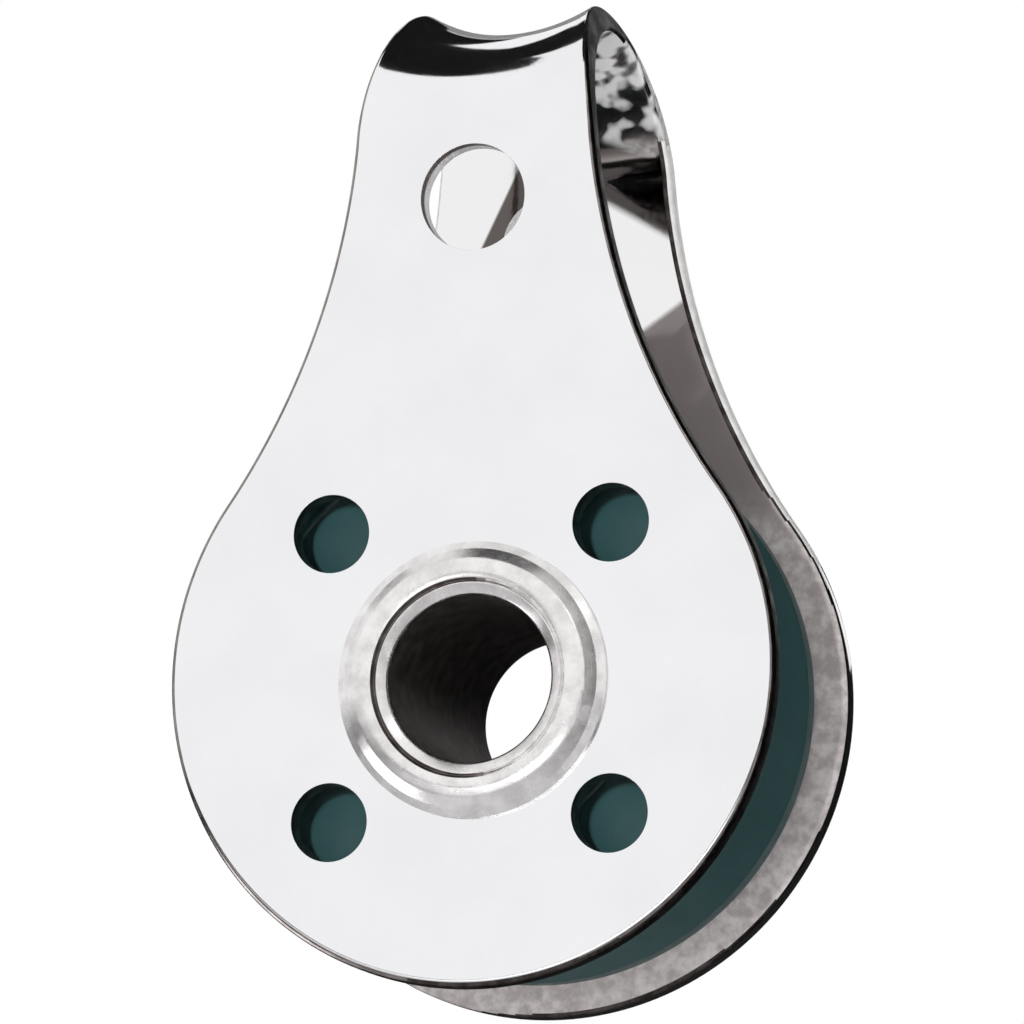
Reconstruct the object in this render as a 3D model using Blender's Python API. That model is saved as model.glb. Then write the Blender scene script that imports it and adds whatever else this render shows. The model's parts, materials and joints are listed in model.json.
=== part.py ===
# A wire rope block: a folded stainless strap, a hollow axle, a bearing sleeve and a plastic sheave.
# Metres, +Z up. The origin is on the axis of the head pin, midway between the cheeks.
# The front cheek faces -Y and the sheave turns about an axis along Y, below the origin.

import math

import bmesh
import bpy
from mathutils import Matrix, Vector

MM = 0.001

# Rope and sheave
ROPE_DIAMETER = 4.0 * MM
SHEAVE_DIAMETER = 25.0 * MM
GROOVE_DEPTH = 3.1 * MM
GROOVE_ROOM = 0.2 * MM  # how far the groove's bottom radius exceeds the rope's
RIM_ROUND = 0.3 * MM
RIM_LAND = 0.9 * MM  # flat of the rim between the groove's mouth and the rounded corner
FLANGE_CLEARANCE = 0.35 * MM  # flange face to cheek
HUB_CLEARANCE = 0.1 * MM  # hub face to cheek
HUB_WALL = 1.2 * MM
WEB_RECESS = 1.3 * MM  # web floor below the flange face
FLANGE_FACE_WIDTH = 1.5 * MM
RECESS_DRAFT = 0.25 * MM  # how far a recess wall leans over its height
SHEAVE_BORE_CHAMFER = 0.2 * MM

# Strap
CHEEK_RADIUS = 13.9 * MM
STRAP_WIDTH_OVER_CHEEKS = 13.6 * MM
STRAP_THICKNESS = 1.25 * MM
STRAP_EDGE_ROUND = 0.35 * MM
PIN_TO_AXLE = 21.3 * MM
FLANK_RADIUS = 33.2 * MM  # concave side between the cheek's circle and the neck
FLANK_ANGLE = math.radians(35)  # where the flank leaves the circle, above the horizontal
PIN_HOLE_DIAMETER = 4.8 * MM
BEND_ABOVE_PIN = 2.9 * MM  # where the cheeks end and the head loop starts
HEAD_HALF_WIDTH = 4.0 * MM  # half the strap's width at the top of the loop
SADDLE_DEPTH = 1.2 * MM  # how far the head's middle sags between its flared edges
WASH_HOLE_DIAMETER = 3.5 * MM
WASH_HOLE_RING_RADIUS = 9.1 * MM
WASH_HOLE_COUNT = 4
HOLE_EDGE_BREAK = 0.12 * MM

# Axle and sleeve
AXLE_BORE_DIAMETER = 7.6 * MM
AXLE_WALL = 1.0 * MM
LIP_RADIUS = 6.25 * MM
LIP_CREST_RADIUS = 5.2 * MM
LIP_HEIGHT = 1.0 * MM  # crest above the cheek's face
AXLE_FIT = 0.05 * MM  # radial, axle to cheek hole and to sleeve
SEAT_GAP = 0.02 * MM  # between faces that bear on each other
SLEEVE_WALL = 0.95 * MM
SLEEVE_CHAMFER = 0.15 * MM
RUNNING_CLEARANCE = 0.05 * MM  # radial, sheave on sleeve

# Fineness of the round forms
SHEAVE_STEPS = 72
AXLE_STEPS = 64
CHEEK_ARC_STEPS = 44
FLANK_STEPS = 12
BEND_STEPS = 20
STRAP_COLUMNS = 10
GROOVE_ARC_STEPS = 8
RIM_ARC_STEPS = 3
LIP_ARC_STEPS = 5
PIN_HOLE_STEPS = 40
WASH_HOLE_STEPS = 32
EDGE_ROUND_STEPS = 2
EDGE_BREAK_STEPS = 1
BEVELLED_ANGLE = math.radians(60)  # edges sharper than this are rounded
SMOOTH_ANGLE = math.radians(35)
TANGENT_STEP = 1e-4  # share of the way over which the head's tangents are taken

# Sizes that follow from the ones above
AXLE_CENTRE = Vector((0, 0, -PIN_TO_AXLE))
CHEEK_OUTER_Y = STRAP_WIDTH_OVER_CHEEKS / 2
CHEEK_INNER_Y = CHEEK_OUTER_Y - STRAP_THICKNESS
AXLE_RADIUS = AXLE_BORE_DIAMETER / 2 + AXLE_WALL
CHEEK_AXLE_HOLE_RADIUS = AXLE_RADIUS + AXLE_FIT
SLEEVE_INNER_RADIUS = AXLE_RADIUS + AXLE_FIT
SLEEVE_OUTER_RADIUS = SLEEVE_INNER_RADIUS + SLEEVE_WALL
SHEAVE_BORE_RADIUS = SLEEVE_OUTER_RADIUS + RUNNING_CLEARANCE


def clear_scene():
    for thing in list(bpy.data.objects):
        bpy.data.objects.remove(thing, do_unlink=True)


def make_material(name, colour, roughness, metallic):
    material = bpy.data.materials.new(name)
    material.use_nodes = True
    shader = material.node_tree.nodes["Principled BSDF"]
    shader.inputs["Base Color"].default_value = (*colour, 1.0)
    shader.inputs["Roughness"].default_value = roughness
    shader.inputs["Metallic"].default_value = metallic
    return material


def link_mesh(name, shape, material, location):
    """Turns a bmesh into an object whose mesh is measured from its own location."""
    mesh = bpy.data.meshes.new(name)
    bmesh.ops.recalc_face_normals(shape, faces=shape.faces)
    shape.to_mesh(mesh)
    shape.free()
    mesh.shade_smooth()
    mesh.set_sharp_from_angle(angle=SMOOTH_ANGLE)
    made = bpy.data.objects.new(name, mesh)
    made.location = location
    if material is not None:
        made.data.materials.append(material)
    bpy.context.scene.collection.objects.link(made)
    return made


def turned(name, profile, steps, material, location):
    """Spins a closed profile of (radius, y) points about the Y axis into a solid ring."""
    shape = bmesh.new()
    corners = [shape.verts.new((radius, y, 0)) for radius, y in profile]
    edges = [shape.edges.new((a, b)) for a, b in zip(corners, corners[1:] + corners[:1])]
    bmesh.ops.spin(
        shape,
        geom=corners + edges,
        cent=(0, 0, 0),
        axis=(0, 1, 0),
        angle=math.tau,
        steps=steps,
        use_merge=True,
    )
    return link_mesh(name, shape, material, location)


def mirrored_profile(half):
    """Closes a half profile at y >= 0, given from the outside inwards, with its mirror image."""
    return half + [(radius, -y) for radius, y in reversed(half) if y > 0]


def ellipse_arc(centre, radii, start, end, steps):
    """Points (radius, y) along an arc, both ends included, with angles from the radial direction."""
    points = []
    for i in range(steps + 1):
        angle = start + (end - start) * i / steps
        points.append((centre[0] + radii[0] * math.cos(angle), centre[1] + radii[1] * math.sin(angle)))
    return points


def sheave_profile():
    rim = SHEAVE_DIAMETER / 2
    bottom = rim - GROOVE_DEPTH
    groove_radius = ROPE_DIAMETER / 2 + GROOVE_ROOM
    flange_y = CHEEK_INNER_Y - FLANGE_CLEARANCE
    hub_y = CHEEK_INNER_Y - HUB_CLEARANCE
    web_y = flange_y - WEB_RECESS
    hub_radius = SHEAVE_BORE_RADIUS + HUB_WALL
    flange_inner = rim - FLANGE_FACE_WIDTH
    mouth_y = flange_y - RIM_ROUND - RIM_LAND
    arc_centre = bottom + groove_radius
    # The flank is the tangent from the mouth to the round bottom, and arc_end is where it touches.
    mouth_rise = rim - arc_centre
    mouth_reach = math.hypot(mouth_rise, mouth_y)
    arc_end = math.pi - math.atan2(mouth_y, mouth_rise) - math.acos(groove_radius / mouth_reach)
    # From the middle of the groove's bottom out along its flank, over the rim and down to the bore.
    half = []
    for i in range(GROOVE_ARC_STEPS // 2 + 1):
        angle = arc_end * i / (GROOVE_ARC_STEPS // 2)
        half.append((arc_centre - groove_radius * math.cos(angle), groove_radius * math.sin(angle)))
    half.append((rim, mouth_y))
    corner = (rim - RIM_ROUND, flange_y - RIM_ROUND)
    half += ellipse_arc(corner, (RIM_ROUND, RIM_ROUND), 0, math.pi / 2, RIM_ARC_STEPS)
    half.append((flange_inner, flange_y))
    half.append((flange_inner - RECESS_DRAFT, web_y))
    half.append((hub_radius + RECESS_DRAFT, web_y))
    half.append((hub_radius, hub_y))
    half.append((SHEAVE_BORE_RADIUS + SHEAVE_BORE_CHAMFER, hub_y))
    half.append((SHEAVE_BORE_RADIUS, hub_y - SHEAVE_BORE_CHAMFER))
    return mirrored_profile(half)


def axle_profile():
    bore = AXLE_BORE_DIAMETER / 2
    under_lip = CHEEK_OUTER_Y + SEAT_GAP
    outer_slope = (LIP_RADIUS - LIP_CREST_RADIUS, LIP_HEIGHT - SEAT_GAP)
    inner_slope = (LIP_CREST_RADIUS - bore, LIP_HEIGHT - SEAT_GAP)
    crest = (LIP_CREST_RADIUS, under_lip)
    # From the tube's outside, under the lip, over its crest and down into the bore.
    half = [(AXLE_RADIUS, under_lip)]
    half += ellipse_arc(crest, outer_slope, 0, math.pi / 2, LIP_ARC_STEPS)
    half += ellipse_arc(crest, inner_slope, math.pi / 2, math.pi, LIP_ARC_STEPS)[1:]
    return mirrored_profile(half)


def sleeve_profile():
    end = CHEEK_INNER_Y - SEAT_GAP
    half = [
        (SLEEVE_OUTER_RADIUS, end - SLEEVE_CHAMFER),
        (SLEEVE_OUTER_RADIUS - SLEEVE_CHAMFER, end),
        (SLEEVE_INNER_RADIUS, end),
    ]
    return mirrored_profile(half)


def cheek_outline():
    """Right-hand edge of a cheek as (x, z), from the bottom of its circle up to the bend."""
    points = []
    for i in range(CHEEK_ARC_STEPS // 2 + 1):
        angle = -math.pi / 2 + (FLANK_ANGLE + math.pi / 2) * i / (CHEEK_ARC_STEPS // 2)
        points.append((CHEEK_RADIUS * math.cos(angle), CHEEK_RADIUS * math.sin(angle) - PIN_TO_AXLE))
    reach = CHEEK_RADIUS + FLANK_RADIUS
    centre_x = reach * math.cos(FLANK_ANGLE)
    centre_z = reach * math.sin(FLANK_ANGLE) - PIN_TO_AXLE
    start = math.pi + FLANK_ANGLE
    end = math.pi + math.asin((centre_z - BEND_ABOVE_PIN) / FLANK_RADIUS)
    for i in range(1, FLANK_STEPS + 1):
        angle = start + (end - start) * i / FLANK_STEPS
        points.append((centre_x + FLANK_RADIUS * math.cos(angle), centre_z + FLANK_RADIUS * math.sin(angle)))
    return points


def head_half_width(turn, at_bend, slope_at_bend):
    """Half the strap's width at an angle round the loop: a cubic from the neck to the top of the head."""
    share = min(turn, math.pi - turn) / (math.pi / 2)
    run = CHEEK_OUTER_Y * math.pi / 2
    return (
        at_bend * (2 * share**3 - 3 * share**2 + 1)
        + slope_at_bend * run * (share**3 - 2 * share**2 + share)
        + HEAD_HALF_WIDTH * (3 * share**2 - 2 * share**3)
    )


def head_point(across, turn, half_width):
    """Point of the head's outer face. The loop is round at its edges and sags between them."""
    sag = SADDLE_DEPTH * (1 - across**2) * math.sin(turn) ** 2
    radius = CHEEK_OUTER_Y - sag
    return Vector((across * half_width, -radius * math.cos(turn), BEND_ABOVE_PIN + radius * math.sin(turn)))


def head_rows(outline):
    """Rows of (outer, inner) points across the strap, from the front bend to the back one."""
    (below_x, below_z), (bend_x, bend_z) = outline[-2:]
    slope = (bend_x - below_x) / (bend_z - below_z)
    rows = []
    for i in range(BEND_STEPS + 1):
        turn = math.pi * i / BEND_STEPS
        row = []
        for j in range(STRAP_COLUMNS + 1):
            across = -1 + 2 * j / STRAP_COLUMNS
            width = head_half_width(turn, bend_x, slope)
            outer = head_point(across, turn, width)
            step = TANGENT_STEP
            along = head_point(across, turn + step, width) - head_point(across, turn - step, width)
            sideways = head_point(across + step, turn, width) - head_point(across - step, turn, width)
            inward = along.cross(sideways).normalized()
            inner = outer + inward * STRAP_THICKNESS
            if i in (0, BEND_STEPS):
                inner = Vector((outer.x, outer.y * CHEEK_INNER_Y / CHEEK_OUTER_Y, BEND_ABOVE_PIN))
            row.append((outer, inner))
        rows.append(row)
    return rows


def strap_shape():
    """The folded strap without its holes: two cheeks, and the head's grid of faces between them."""
    outline = cheek_outline()
    rows = head_rows(outline)
    shape = bmesh.new()
    grid = [[[shape.verts.new(point) for point in pair] for pair in row] for row in rows]
    last = STRAP_COLUMNS
    for row, next_row in zip(grid, grid[1:]):
        for j in range(last):
            shape.faces.new([row[j][0], row[j + 1][0], next_row[j + 1][0], next_row[j][0]])
            shape.faces.new([row[j][1], next_row[j][1], next_row[j + 1][1], row[j + 1][1]])
        for j in (0, last):
            shape.faces.new([row[j][0], row[j][1], next_row[j][1], next_row[j][0]])
    for side, row in ((-1, grid[0]), (1, grid[-1])):
        add_cheek(shape, outline, side, row)
    return shape


def add_cheek(shape, outline, side, row):
    """A flat cheek at one side of the strap, joined to the first or last row of the head."""
    rings = []
    for layer, y in ((0, side * CHEEK_OUTER_Y), (1, side * CHEEK_INNER_Y)):
        right = [shape.verts.new((x, y, z)) for x, z in outline[:-1]]
        left = [shape.verts.new((-x, y, z)) for x, z in outline[1:-1]]
        top = [pair[layer] for pair in reversed(row)]
        ring = right + top + left[::-1]
        shape.faces.new(ring)
        rings.append(ring)
    count = len(outline) - 1
    for i in range(len(rings[0])):
        j = (i + 1) % len(rings[0])
        inside_head = count <= i < count + STRAP_COLUMNS
        if not inside_head:
            shape.faces.new([rings[0][i], rings[0][j], rings[1][j], rings[1][i]])


def drill(name, radius, steps, x, z):
    """A cutter along Y through both cheeks."""
    shape = bmesh.new()
    bmesh.ops.create_cone(
        shape,
        cap_ends=True,
        segments=steps,
        radius1=radius,
        radius2=radius,
        depth=2 * STRAP_WIDTH_OVER_CHEEKS,
        matrix=Matrix.Rotation(math.pi / 2, 4, "X"),
    )
    cutter = link_mesh(name, shape, None, (x, 0, z))
    cutter.hide_render = True
    cutter.display_type = "WIRE"
    return cutter


def add_bevel(thing, name, width, segments):
    bevel = thing.modifiers.new(name, "BEVEL")
    bevel.width = width
    bevel.segments = segments
    bevel.limit_method = "ANGLE"
    bevel.angle_limit = BEVELLED_ANGLE


def add_cut(thing, cutter):
    cut = thing.modifiers.new("Cut " + cutter.name, "BOOLEAN")
    cut.operation = "DIFFERENCE"
    cut.solver = "EXACT"
    cut.object = cutter


def make_strap(steel):
    strap = link_mesh("strap", strap_shape(), steel, (0, 0, 0))
    add_bevel(strap, "Edge round", STRAP_EDGE_ROUND, EDGE_ROUND_STEPS)
    axle_z = -PIN_TO_AXLE
    cutters = [
        drill("pin_hole_cutter", PIN_HOLE_DIAMETER / 2, PIN_HOLE_STEPS, 0, 0),
        drill("axle_hole_cutter", CHEEK_AXLE_HOLE_RADIUS, AXLE_STEPS, 0, axle_z),
    ]
    for i in range(WASH_HOLE_COUNT):
        angle = math.tau * (i + 0.5) / WASH_HOLE_COUNT
        x = WASH_HOLE_RING_RADIUS * math.cos(angle)
        z = WASH_HOLE_RING_RADIUS * math.sin(angle) + axle_z
        cutters.append(drill(f"wash_hole_cutter_{i + 1}", WASH_HOLE_DIAMETER / 2, WASH_HOLE_STEPS, x, z))
    for cutter in cutters:
        add_cut(strap, cutter)
    add_bevel(strap, "Hole edges", HOLE_EDGE_BREAK, EDGE_BREAK_STEPS)
    return strap


def main():
    clear_scene()
    steel = make_material("polished_steel", (0.80, 0.80, 0.81), 0.08, 1.0)
    lip_steel = make_material("rolled_steel", (0.72, 0.71, 0.71), 0.18, 1.0)
    bearing = make_material("bearing_steel", (0.62, 0.62, 0.63), 0.25, 1.0)
    plastic = make_material("sheave_plastic", (0.030, 0.075, 0.080), 0.42, 0.0)
    make_strap(steel)
    turned("hollow_axle", axle_profile(), AXLE_STEPS, lip_steel, AXLE_CENTRE)
    turned("bearing_sleeve", sleeve_profile(), AXLE_STEPS, bearing, AXLE_CENTRE)
    turned("sheave", sheave_profile(), SHEAVE_STEPS, plastic, AXLE_CENTRE)


main()
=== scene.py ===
# Looks of a small wire rope block: polished folded strap, hollow rolled axle and a dark teal plastic sheave.
# Metres, +Z up. The origin is on the head pin's axis and the front cheek faces -Y.

import json
import math

import bpy
from mathutils import Matrix, Vector


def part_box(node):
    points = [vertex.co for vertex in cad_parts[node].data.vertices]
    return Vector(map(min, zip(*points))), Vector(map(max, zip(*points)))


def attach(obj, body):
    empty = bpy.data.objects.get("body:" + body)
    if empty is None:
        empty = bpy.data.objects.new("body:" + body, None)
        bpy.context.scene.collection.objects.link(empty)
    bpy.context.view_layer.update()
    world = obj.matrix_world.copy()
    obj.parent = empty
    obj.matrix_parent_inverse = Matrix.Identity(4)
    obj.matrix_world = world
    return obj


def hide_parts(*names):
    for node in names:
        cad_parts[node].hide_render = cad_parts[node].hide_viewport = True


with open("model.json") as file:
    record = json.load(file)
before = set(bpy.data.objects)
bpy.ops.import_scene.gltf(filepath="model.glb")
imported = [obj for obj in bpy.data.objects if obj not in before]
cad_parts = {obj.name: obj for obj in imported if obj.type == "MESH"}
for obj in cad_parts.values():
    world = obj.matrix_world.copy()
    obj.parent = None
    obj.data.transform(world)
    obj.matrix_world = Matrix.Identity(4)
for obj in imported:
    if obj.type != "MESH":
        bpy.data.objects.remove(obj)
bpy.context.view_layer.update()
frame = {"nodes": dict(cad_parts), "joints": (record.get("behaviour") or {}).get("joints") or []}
print("frame loaded:", sorted(frame["nodes"]))

# Places that every piece is built from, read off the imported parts
axleCentre = Vector(frame["joints"][0]["pos_m"])
strapLow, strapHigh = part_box("strap")
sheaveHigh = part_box("sheave")[1]
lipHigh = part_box("hollow_axle")[1]
cheekOuterY = strapHigh.y
cheekRadius = axleCentre.z - strapLow.z
mergeDistance = 1e-6
pickReach = 1e-5  # how near a vertex has to be to the place that picks it
rowReach = 8e-6


# Camera first: it stands below the block's middle and a little to its right

photoView = {
    "azimuth": 17.0,
    "elevation": -9.3,
    "roll": 0.35,
    "distance": 0.459,
    "lens": 362.1,  # mm
    "sensor": 36,  # mm
    "nearest": 0.01,
    "farthest": 20,
    "aimRight": -0.00011,  # from the axle's centre to the picture's middle
    "aimUp": 0.00812,
}


def lookFrom(azimuth, elevation):
    # The way from the block to someone who looks at it
    turn = math.radians(azimuth)
    rise = math.radians(elevation)
    return Vector((math.sin(turn) * math.cos(rise), -math.cos(turn) * math.cos(rise), math.sin(rise)))


def makeCamera():
    turn = math.radians(photoView["azimuth"])
    roll = math.radians(photoView["roll"])
    back = lookFrom(photoView["azimuth"], photoView["elevation"])
    level = Vector((math.cos(turn), math.sin(turn), 0))
    upright = back.cross(level)
    right = level * math.cos(roll) + upright * math.sin(roll)
    up = upright * math.cos(roll) - level * math.sin(roll)
    place = axleCentre + back * photoView["distance"]
    place = place + right * photoView["aimRight"] + up * photoView["aimUp"]
    data = bpy.data.cameras.new("photoCamera")
    data.lens = photoView["lens"]
    data.sensor_width = photoView["sensor"]
    data.clip_start = photoView["nearest"]
    data.clip_end = photoView["farthest"]
    camera = bpy.data.objects.new("photoCamera", data)
    camera.matrix_world = Matrix.Translation(place) @ Matrix((right, up, back)).transposed().to_4x4()
    bpy.context.scene.collection.objects.link(camera)
    bpy.context.scene.camera = camera


makeCamera()
bpy.context.scene.view_settings.view_transform = "Standard"
print("camera made")


# Shader helpers


def addNode(tree, kind, place, **values):
    node = tree.nodes.new(kind)
    node.location = place
    for name, value in values.items():
        if name in node.bl_rna.properties:
            setattr(node, name, value)
        else:
            node.inputs[name.replace("_", " ")].default_value = value
    return node


def newGroup(name, inputs, outputs):
    group = bpy.data.node_groups.new(name, "ShaderNodeTree")
    for label, kind, value in inputs:
        socket = group.interface.new_socket(label, in_out="INPUT", socket_type=kind)
        if value is not None:
            socket.default_value = value
    for label, kind in outputs:
        group.interface.new_socket(label, in_out="OUTPUT", socket_type=kind)
    start = addNode(group, "NodeGroupInput", (-900, 0))
    end = addNode(group, "NodeGroupOutput", (700, 0))
    return group, start, end


def useGroup(tree, group, place, **values):
    node = tree.nodes.new("ShaderNodeGroup")
    node.node_tree = group
    node.location = place
    for name, value in values.items():
        node.inputs[name].default_value = value
    return node


scratchLook = {
    "turns": (12, 74, 131),  # degrees
    "stretch": 0.035,
    "detail": 1.5,
    "roughness": 0.6,
    "start": 0.62,
    "end": 0.78,
}
cloudLook = {"roughness": 0.55, "start": 0.30, "end": 0.70}


def makeScratchGroup():
    # Fine polishing lines in three directions, each a noise stretched along one way
    group, start, end = newGroup(
        "polishLines",
        [("Vector", "NodeSocketVector", None), ("Fineness", "NodeSocketFloat", 9000.0)],
        [("Lines", "NodeSocketFloat")],
    )
    total = None
    for i, turn in enumerate(scratchLook["turns"]):
        mapping = addNode(group, "ShaderNodeMapping", (-600, -300 * i))
        mapping.inputs["Rotation"].default_value = (0, math.radians(turn), 0)
        mapping.inputs["Scale"].default_value = (1, 1, scratchLook["stretch"])
        noise = addNode(
            group, "ShaderNodeTexNoise", (-380, -300 * i),
            Detail=scratchLook["detail"], Roughness=scratchLook["roughness"],
        )
        group.links.new(start.outputs["Vector"], mapping.inputs["Vector"])
        group.links.new(mapping.outputs["Vector"], noise.inputs["Vector"])
        group.links.new(start.outputs["Fineness"], noise.inputs["Scale"])
        sharp = addNode(group, "ShaderNodeMapRange", (-160, -300 * i))
        sharp.inputs["From Min"].default_value = scratchLook["start"]
        sharp.inputs["From Max"].default_value = scratchLook["end"]
        group.links.new(noise.outputs["Fac"], sharp.inputs["Value"])
        if total is None:
            total = sharp.outputs["Result"]
            continue
        add = addNode(group, "ShaderNodeMath", (80, -300 * i), operation="MAXIMUM")
        group.links.new(total, add.inputs[0])
        group.links.new(sharp.outputs["Result"], add.inputs[1])
        total = add.outputs["Value"]
    group.links.new(total, end.inputs["Lines"])
    return group


def makeCloudGroup():
    # Soft blotches between two values, for uneven polish and stains
    group, start, end = newGroup(
        "clouds",
        [
            ("Vector", "NodeSocketVector", None),
            ("Scale", "NodeSocketFloat", 600.0),
            ("Low", "NodeSocketFloat", 0.0),
            ("High", "NodeSocketFloat", 1.0),
            ("Detail", "NodeSocketFloat", 4.0),
        ],
        [("Value", "NodeSocketFloat")],
    )
    noise = addNode(group, "ShaderNodeTexNoise", (-500, 0), Roughness=cloudLook["roughness"])
    spread = addNode(group, "ShaderNodeMapRange", (-200, 0), interpolation_type="SMOOTHSTEP")
    spread.inputs["From Min"].default_value = cloudLook["start"]
    spread.inputs["From Max"].default_value = cloudLook["end"]
    group.links.new(start.outputs["Vector"], noise.inputs["Vector"])
    group.links.new(start.outputs["Scale"], noise.inputs["Scale"])
    group.links.new(start.outputs["Detail"], noise.inputs["Detail"])
    group.links.new(noise.outputs["Fac"], spread.inputs["Value"])
    group.links.new(start.outputs["Low"], spread.inputs["To Min"])
    group.links.new(start.outputs["High"], spread.inputs["To Max"])
    group.links.new(spread.outputs["Result"], end.inputs["Value"])
    return group


polishLines = makeScratchGroup()
clouds = makeCloudGroup()


def newMaterial(name):
    material = bpy.data.materials.new(name)
    material.use_nodes = True
    tree = material.node_tree
    shader = tree.nodes["Principled BSDF"]
    shader.location = (500, 0)
    coords = addNode(tree, "ShaderNodeTexCoord", (-900, 0))
    return material, tree, shader, coords.outputs["Object"]


def addBump(tree, shader, height, strength, distance, before=None):
    bump = addNode(tree, "ShaderNodeBump", (250, -300), Strength=strength, Distance=distance)
    tree.links.new(height, bump.inputs["Height"])
    if before is not None:
        tree.links.new(before, bump.inputs["Normal"])
    tree.links.new(bump.outputs["Normal"], shader.inputs["Normal"])
    return bump.outputs["Normal"]


def makeSteel(name, look):
    # Stainless steel: waves and blotches left by polishing, with fine lines over them
    material, tree, shader, where = newMaterial(name)
    shader.inputs["Metallic"].default_value = look["metal"]
    tint = useGroup(tree, clouds, (-500, 300), Scale=look["blotchScale"], Low=0.0, High=1.0)
    mix = addNode(tree, "ShaderNodeMix", (-100, 300), data_type="RGBA")
    mix.inputs[6].default_value = (*look["darker"], 1)
    mix.inputs[7].default_value = (*look["lighter"], 1)
    rough = useGroup(
        tree, clouds, (-500, 0), Scale=look["roughScale"], Low=look["roughLow"], High=look["roughHigh"]
    )
    lines = useGroup(tree, polishLines, (-500, -250), Fineness=look["lineFineness"])
    waves = useGroup(tree, clouds, (-500, -500), Scale=look["waveScale"], Low=0.0, High=1.0, Detail=1.0)
    for node in (tint, rough, lines, waves):
        tree.links.new(where, node.inputs["Vector"])
    tree.links.new(tint.outputs["Value"], mix.inputs[0])
    tree.links.new(mix.outputs[2], shader.inputs["Base Color"])
    tree.links.new(rough.outputs["Value"], shader.inputs["Roughness"])
    wavy = addBump(tree, shader, waves.outputs["Value"], 1.0, look["waveHeight"])
    addBump(tree, shader, lines.outputs["Lines"], 1.0, look["lineDepth"], wavy)
    return material


def heightMask(tree, where, start, end, place):
    # 0 at one height of the block and 1 at another, with a smooth change between them
    parts = addNode(tree, "ShaderNodeSeparateXYZ", (place[0] - 200, place[1]))
    mask = addNode(tree, "ShaderNodeMapRange", place, interpolation_type="SMOOTHSTEP")
    mask.inputs["From Min"].default_value = start
    mask.inputs["From Max"].default_value = end
    tree.links.new(where, parts.inputs["Vector"])
    tree.links.new(parts.outputs["Z"], mask.inputs["Value"])
    return mask.outputs["Result"]


def blendValues(tree, mask, first, second, place):
    mix = addNode(tree, "ShaderNodeMix", place)
    tree.links.new(mask, mix.inputs[0])
    for slot, value in ((2, first), (3, second)):
        if isinstance(value, float):
            mix.inputs[slot].default_value = value
        else:
            tree.links.new(value, mix.inputs[slot])
    return mix.outputs[0]


def slabMask(tree, where, direction, edges, place):
    # 1 between two parallel planes across the direction, fading to 0 on both sides
    along = addNode(tree, "ShaderNodeVectorMath", (place[0] - 200, place[1]), operation="DOT_PRODUCT")
    along.inputs[1].default_value = direction
    tree.links.new(where, along.inputs[0])
    rise = addNode(tree, "ShaderNodeMapRange", place, interpolation_type="SMOOTHSTEP")
    fall = addNode(tree, "ShaderNodeMapRange", (place[0], place[1] - 250), interpolation_type="SMOOTHSTEP")
    both = addNode(tree, "ShaderNodeMath", (place[0] + 200, place[1]), operation="MULTIPLY")
    for node, first, last, high in ((rise, edges[0], edges[1], 1.0), (fall, edges[2], edges[3], 0.0)):
        node.inputs["From Min"].default_value = first
        node.inputs["From Max"].default_value = last
        node.inputs["To Min"].default_value = 1.0 - high
        node.inputs["To Max"].default_value = high
        tree.links.new(along.outputs["Value"], node.inputs["Value"])
    tree.links.new(rise.outputs["Result"], both.inputs[0])
    tree.links.new(fall.outputs["Result"], both.inputs[1])
    return both.outputs["Value"]


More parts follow.
